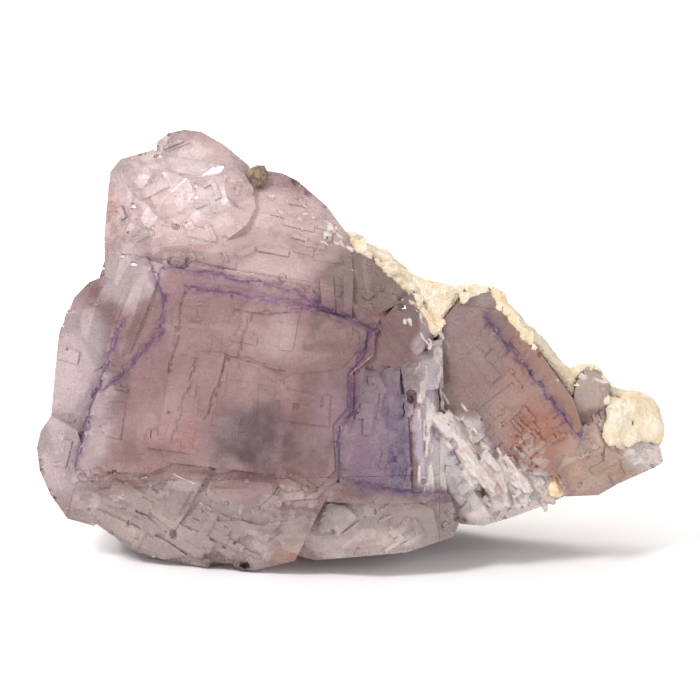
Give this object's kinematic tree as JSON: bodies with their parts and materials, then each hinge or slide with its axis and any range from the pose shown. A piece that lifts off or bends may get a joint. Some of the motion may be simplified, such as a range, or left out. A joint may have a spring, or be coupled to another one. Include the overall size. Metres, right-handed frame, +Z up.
{
  "type": "fluorite crystal specimen",
  "caption": "Hand-sized specimen of intergrown violet fluorite cubes with cleaved faces and a bright crest, on a backing of cream rock, standing on its broken base.",
  "frame": {"origin": "on the ground under the middle of the bounding box, at rest on the broken base", "axes": "+X along the length, towards the cream-capped end; +Y away from the display face, which looks along -Y and leans back; +Z up"},
  "size_m": [0.0948, 0.0444, 0.0629],
  "materials": {
    "fluorite": "cleaved violet-grey fluorite, see-through at the edges and frosted on the broken faces",
    "matrix_rock": "rough cream limestone",
    "calcite_chip": "peach calcite with a waxy break",
    "ironstone_grain": "dull brown ironstone"
  },
  "bodies": {
    "root": {"fluorite": "fluorite", "matrix_rock": "matrix_rock", "calcite_chip": "calcite_chip", "ironstone_grain": "ironstone_grain"}
  },
  "joints": []
}
